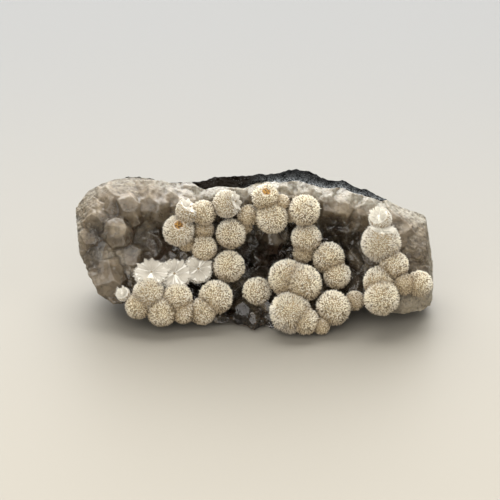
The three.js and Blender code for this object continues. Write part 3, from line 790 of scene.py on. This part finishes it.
def ballCore(ball):
    # a ball in rings from pole to pole, point = middle + aim * size, flattened onto a broken one's cut
    radius, middle = ball["radius"], ball["middle"]
    rows, columns = core["rows"], core["columns"]
    tilt = np.linspace(0, math.pi, rows)[1:-1, None]
    turn = np.linspace(0, 2 * math.pi, columns, endpoint=False)[None]
    aim = stacked(np.sin(tilt) * np.cos(turn), np.sin(tilt) * np.sin(turn), np.cos(tilt)).reshape(-1, 3)
    aim = np.concatenate([aim, [[0, 0, 1], [0, 0, -1]]])
    size = radius * core["size"] * (1 + core["uneven"] * latticeNoise(aim * radius, 1.4, 4))
    stain = np.zeros(len(aim))
    if "pit" in ball:
        reach, away = ball["pitSize"], np.linalg.norm(aim - ball["pit"], axis=1)
        stain = 1 - smoothStep(reach * 0.8, reach * 1.25, away)
        size = size * (1 - 0.05 * stain)
    points = middle + aim * size[:, None]
    freshAndTopLight = np.zeros(len(aim))
    if "towards" in ball:
        beyond = (points - middle) @ ball["towards"] - radius * ball["keep"]
        points = points - np.maximum(beyond, 0)[:, None] * ball["towards"]
        freshAndTopLight = (beyond > -0.02).astype(float)
    # tip is 0 on a plain core, so it takes the needles' dark foot colour: painted shade seen between the
    # needles.
    return points, ringFaces(rows - 2, columns), dict(
        tip=0.85 * np.maximum(freshAndTopLight, stain), tint=np.full(len(points), 0.5), freshAndTopLight=freshAndTopLight, stain=stain)


fan = {
    "perMm": 130,  # fibres for each mm of the cut's radius
    "lobe": 3.2,  # width of a petal at the rim, mm
    "width": 0.16,  # of a fibre, half across
    "lift": 0.75,  # how far the middle of a petal stands out of the cut
    "eye": 0.5,  # radius of the seed in the middle
    "tip": (0.40, 0.52, 0.52, 0.58, 0.58),  # how white, from foot to tip
    "tuft": 0.2,  # how much whiter a tuft is
}


def cutDirections(ball):
    # two directions in the cut of a broken ball
    first, second = crossways(ball["towards"][None], np.random.default_rng(5))
    return first[0], second[0]


def fanFibres(ball, rng):
    # thin spindles on the cut of a broken ball, in petal-like bundles: each runs from near the
    # middle to the rim, and point = middle + out * r + towards * (level + lift * (r / rim) ** 2)
    radius, middle, towards = ball["radius"], ball["middle"], ball["towards"]
    rim = radius * math.sqrt(1 - ball["keep"] ** 2)
    count = int(rim * fan["perMm"])
    petals = max(6, round(2 * math.pi * rim / fan["lobe"]))
    first, second = cutDirections(ball)
    petal = rng.integers(petals, size=count)
    across = np.clip(rng.normal(scale=0.5, size=count), -1, 1)
    angle = (petal + 0.46 * across + 0.2 * np.sin(petal * 5.0)) * 2 * math.pi / petals
    tall = rng.uniform(0.86, 1.06, petals)[petal]
    reach = rim * tall * (1.05 - 0.3 * np.abs(across) ** 1.3 - rng.uniform(0, 0.08, count))
    start = rim * rng.choice([0.0, 0.2, 0.4, 0.55], size=count) * rng.uniform(0.8, 1.2, count)
    start = np.maximum(start, 0.45)
    lift = rng.uniform(0.35, 1, petals)[petal] * (1 - across ** 2) * fan["lift"]
    if "tuft" in ball:
        lift = rng.uniform(0, ball["tuft"], count)
        reach = rim * rng.uniform(0.35, 1.0, count)
    out = np.cos(angle)[:, None] * first + np.sin(angle)[:, None] * second
    side = -np.sin(angle)[:, None] * first + np.cos(angle)[:, None] * second
    level = radius * ball["keep"] + rng.uniform(-0.05, 0.12, count)
    half = fan["width"] * rng.uniform(0.6, 1.2, count)[:, None]
    foot = middle + out * start[:, None] + towards * (level + lift * (start / rim) ** 2)[:, None]
    far = start + (reach - start) * 0.7
    waist = middle + out * far[:, None] + towards * (level + lift * (far / rim) ** 2)[:, None]
    tip = middle + out * reach[:, None] + towards * (level + lift)[:, None]
    sides = [waist - side * half, waist + side * half, waist + towards * half * 0.9]
    points = np.stack([foot, *sides, tip], axis=1)
    points = points[outsideOthers(tip, ball, 0.93) > -0.3]
    faces = np.array([(0, 2, 1), (0, 1, 3), (0, 3, 2), (4, 1, 2), (4, 3, 1), (4, 2, 3)])
    count = len(points)
    triangles = (np.arange(count) * 5)[:, None, None] + faces
    white = np.array(fan["tip"]) + fan["tuft"] * ("tuft" in ball)
    return points.reshape(-1, 3), triangles.reshape(-1, 3), dict(
        tip=np.tile(white, count), tint=np.repeat(rng.uniform(0.3, 1, count), 5), freshAndTopLight=np.ones(5 * count))


def fanEye(ball):
    # the dark seed in the middle of the fibres, a small eight-sided double cone
    heart = ball["middle"] + ball["towards"] * ball["radius"] * ball["keep"]
    first, second = cutDirections(ball)
    angle = np.arange(8)[:, None] * math.pi / 4
    ends = [ball["towards"], -ball["towards"]]
    around = np.concatenate([np.cos(angle) * first + np.sin(angle) * second, ends])
    return heart + fan["eye"] * around, ringFaces(1, 8), {}


def buildBalls(finish):
    # each group becomes one piece: cores, needles, and the fibres and seeds of its broken balls
    triangleCount = 0
    for number, (node, group) in enumerate(balls.items()):
        rng = np.random.default_rng(200 + number)
        parts = []
        for ball in group:
            parts += [(*ballCore(ball), True), (*needleTips(ball, rng), False)]
            if "towards" in ball:
                parts.append((*fanFibres(ball, rng), False))
                if "tuft" not in ball:
                    parts.append((*fanEye(ball), True))
        starts = np.cumsum([0] + [len(part[0]) for part in parts])
        points = np.concatenate([part[0] for part in parts])
        triangles = np.concatenate([part[1] + start for part, start in zip(parts, starts)])
        smooth = np.concatenate([np.full(len(part[1]), part[3]) for part in parts])
        attributes = {}
        for key in ("tip", "tint", "freshAndTopLight", "snug", "stain"):  # 0 where a part doesn't give it
            values = [part[2].get(key, np.zeros(len(part[0]))) for part in parts]
            attributes[key] = np.concatenate(values)
        name = "".join(word.capitalize() if i else word for i, word in enumerate(node.split("_")))
        addPiece(name, points, triangles, finish, smooth, node, "needles", **attributes)
        triangleCount += len(triangles)
    print("needle balls:", triangleCount, "triangles")


def needleFinish():
    finish = Finish("needleCrystals")
    tip, tint, freshAndTopLight, snug, stain = map(finish.attribute, ("tip", "tint", "freshAndTopLight", "snug", "stain"))
    patch = finish.noise(5).step(0.4, 0.62)
    lit = finish.mix(patch, (0.98, 0.925, 0.76), (1.0, 0.965, 0.855))
    # The tips turn brown by snug: where the needles crowd other balls, and on the undersides, which is
    # painted shade.
    lit = finish.mix(snug * 0.75, lit, (0.31, 0.205, 0.09))
    # Stunted and dark needles turn near black-brown; the dark ones gather on the undersides as painted
    # shade.
    lit = finish.mix(tint.step(0.0, 0.6), (0.075, 0.05, 0.024), lit)
    # Painted shade deep among the needles: each needle goes from a dark brown at its foot to its tip
    # colour. The cores, at tip 0, take that dark brown too.
    body = finish.mix(tip.step(0.0, 0.45), (0.31, 0.24, 0.14), lit)
    # The white needles and fibres also darken towards their feet, as painted shade.
    white = finish.mix(tip.step(0.1, 1.0), (0.30, 0.25, 0.18), (0.93, 0.905, 0.83))
    # The white of fresh breaks, together with the painted light on the tops of the balls.
    body = finish.mix(freshAndTopLight, body, white)
    rust = finish.mix(finish.noise(0.7).step(0.4, 0.6), (0.06, 0.025, 0.006), (0.36, 0.185, 0.03))
    body = finish.mix(stain, body, rust)
    shader = finish.node("ShaderNodeBsdfPrincipled", {}, {
        "Base Color": body, "Roughness": 0.62, "Specular IOR Level": 0.35})
    return finish.done(shader)


def quartzFinish():
    finish = Finish("cloudyQuartz")
    pale, rim, stand = map(finish.attribute, ("pale", "rim", "stand"))
    ridge, milky, crest = map(finish.attribute, ("ridge", "milky", "crest"))
    cloud = finish.noise(6, 4, 0.6)
    veins = finish.noise(1.8, 4, 1.5)
    inside = finish.mix(pale.step(0.1, 0.9), (0.10, 0.071, 0.046), (0.23, 0.178, 0.115))
    inside = finish.mix(cloud.step(0.4, 0.65) * 0.45, inside, (0.33, 0.28, 0.20))
    streaks = finish.streaks(1.1, 4).step(0.4, 0.62)
    rimColour = finish.mix(streaks, (0.085, 0.062, 0.037), (0.20, 0.16, 0.105))
    colour = finish.mix(rim, inside, rimColour)
    # Paler where milky is high: milky quartz, plus the painted highlight and painted light of those
    # patches.
    colour = finish.mix(milky * (0.35 + veins), colour, (0.34, 0.29, 0.205))
    # Painted depth shading: crystals that stand well clear of the crust are mixed halfway to a middle
    # brown, so they read lighter than the deep places between them.
    colour = finish.mix(stand.step(0.6, 1.6) * 0.5, colour, (0.21, 0.16, 0.105))
    # Painted highlight along raised crests, weaker on the rims, and painted shade in the dips between
    # them.
    colour = finish.mix(ridge.step(0.55, 0.9) * (0.25 - 0.15 * rim), colour, (0.45, 0.41, 0.34))
    colour = finish.mix((1 - ridge).step(0.52, 0.85) * 0.6, colour, (0.04, 0.027, 0.017))
    blocks = finish.cells(2.6, "F1", 1)
    colour = finish.mix(blocks.step(0.1, 0.9) * 0.35, colour, (0.06, 0.045, 0.03))
    lines = 1 - finish.cells(2.6, "DISTANCE_TO_EDGE").step(0.0, 0.06)
    colour = finish.mix(lines * veins.step(0.45, 0.65) * 0.7, colour, (0.035, 0.025, 0.016))
    dusty = crest * (0.2 + 0.8 * finish.noise(1.1, 5).step(0.38, 0.6))
    colour = finish.mix(dusty, colour, (0.30, 0.28, 0.225))
    grain = finish.noise(0.8, 3)
    fine = finish.noise(1.1, 5, 0.8)
    between = 1 - 0.8 * stand.step(0.3, 1.2)
    colour = finish.mix(fine.step(0.53, 0.66) * between * 0.25, colour, (0.42, 0.385, 0.32))
    colour = finish.mix(fine.step(0.47, 0.34) * between * 0.5, colour, (0.035, 0.026, 0.018))
    surface = finish.bump(veins * 0.5 + grain * (0.5 + 1.2 * crest), 0.35, 0.6)
    cloudy = finish.node("ShaderNodeBsdfPrincipled", {}, {
        "Base Color": colour, "Roughness": 0.32 + 0.3 * rim, "Normal": surface,
        "Subsurface Weight": 0.5, "Subsurface Radius": (1.0, 0.85, 0.65), "Subsurface Scale": 1.8 * mm,
        "Coat Weight": 0.25 * (1 - rim) * (1 - crest), "Coat Roughness": 0.08})
    clear = finish.node("ShaderNodeBsdfPrincipled", {}, {
        "Base Color": (0.93, 0.9, 0.89), "Roughness": 0.08, "IOR": 1.544, "Transmission Weight": 1.0,
        "Normal": surface})
    share = (0.16 + 0.4 * pale + 0.4 * rim + 0.5 * milky + 0.7 * (cloud - 0.5)).step(0, 1)
    both = finish.node("ShaderNodeMixShader", {}, {0: share, 1: clear, 2: cloudy})
    depth = finish.node("ShaderNodeVolumeAbsorption", {}, {"Color": (0.66, 0.53, 0.44), "Density": 200.0})
    return finish.done(both, depth)


def basaltFinish():
    finish = Finish("darkBasalt")
    grain, lumps = finish.noise(0.7, 4), finish.noise(5, 4)
    specks = finish.cells(1.1).step(0.32, 0.12)
    colour = finish.mix(lumps.step(0.35, 0.65), (0.002, 0.002, 0.002), (0.0065, 0.0066, 0.0064))
    colour = finish.mix(finish.attribute("rear") * lumps, colour, (0.034, 0.032, 0.031))
    colour = finish.mix(finish.attribute("brown") * 0.8, colour, (0.009, 0.0055, 0.0025))
    colour = finish.mix(grain.step(0.60, 0.76) * 0.35, colour, (0.04, 0.042, 0.041))
    colour = finish.mix(specks * lumps.step(0.5, 0.7) * 0.35, colour, (0.32, 0.33, 0.33))
    dusty = finish.noise(0.6, 3).step(0.44, 0.56) * finish.attribute("seam")
    colour = finish.mix(dusty * 0.85, colour, (0.36, 0.385, 0.40))
    surface = finish.bump(grain + lumps, 1.6, 1.0)
    shader = finish.node("ShaderNodeBsdfPrincipled", {}, {
        "Base Color": colour, "Roughness": 0.85, "Specular IOR Level": 0.03, "Normal": surface})
    return finish.done(shader)


def floorFinish():
    finish = Finish("paleFloor")
    place = finish.node("ShaderNodeSeparateXYZ", {}, {0: finish.place()}, 1)
    colour = finish.mix(place.step(-0.16, 0.3), (0.262, 0.24, 0.197), (0.153, 0.157, 0.16))
    shader = finish.node("ShaderNodeBsdfPrincipled", {}, {"Base Color": colour, "Roughness": 0.55})
    return finish.done(shader)


buildCrust(quartzFinish())
print("crust built")
buildBasalt(basaltFinish())
print("basalt built")
buildBalls(needleFinish())


# The floor, the lights and the camera.
floorMesh = bpy.data.meshes.new("floor")
floorMesh.from_pydata([(-3, -2, 0), (3, -2, 0), (3, 6, 0), (-3, 6, 0)], [], [(0, 1, 2, 3)])
floorMesh.materials.append(floorFinish())
floor = bpy.data.objects.new("floor", floorMesh)
bpy.context.collection.objects.link(floor)

lights = {
    "overhead": dict(at=(-0.05, 0.8, 0.8), size=1.6, power=42, colour=(1, 0.985, 0.95)),
    "front": dict(at=(-0.25, -0.85, 0.72), size=1.5, power=14.5, colour=(1, 0.97, 0.92)),
    "right": dict(at=(1.0, -0.35, 0.6), size=0.9, power=3, colour=(1, 0.97, 0.92)),
}
for name, light in lights.items():
    lamp = bpy.data.lights.new(name, "AREA")
    lamp.size, lamp.energy, lamp.color = light["size"], light["power"], light["colour"]
    holder = bpy.data.objects.new(name, lamp)
    holder.location = light["at"]
    aim = -holder.location.normalized()
    holder.rotation_euler = aim.to_track_quat("-Z", "Y").to_euler()
    holder.visible_camera = False
    bpy.context.collection.objects.link(holder)

world = bpy.data.worlds.new("room")
world.use_nodes = True
background = world.node_tree.nodes["Background"].inputs
background["Color"].default_value = (0.97, 0.985, 1, 1)
background["Strength"].default_value = 0.38
bpy.context.scene.world = world
bpy.context.scene.view_settings.view_transform = "Standard"

# The picture's width at the face, how far off the camera stands and where it looks, mm.
view = {"width": 180.6, "distance": 2500.0, "centre": (-1.59, 0.69, 0.0), "sensor": 36}
camera = bpy.data.cameras.new("camera")
camera.sensor_width = view["sensor"]
camera.lens = view["sensor"] * view["distance"] / view["width"]
camera.clip_start, camera.clip_end = 0.05, 20
holder = bpy.data.objects.new("camera", camera)
holder.location = toRow(np.array(view["centre"]) + [0, 0, view["distance"]])
holder.rotation_euler = (math.pi / 2 - face["lean"], 0, 0)
bpy.context.collection.objects.link(holder)
bpy.context.scene.camera = holder
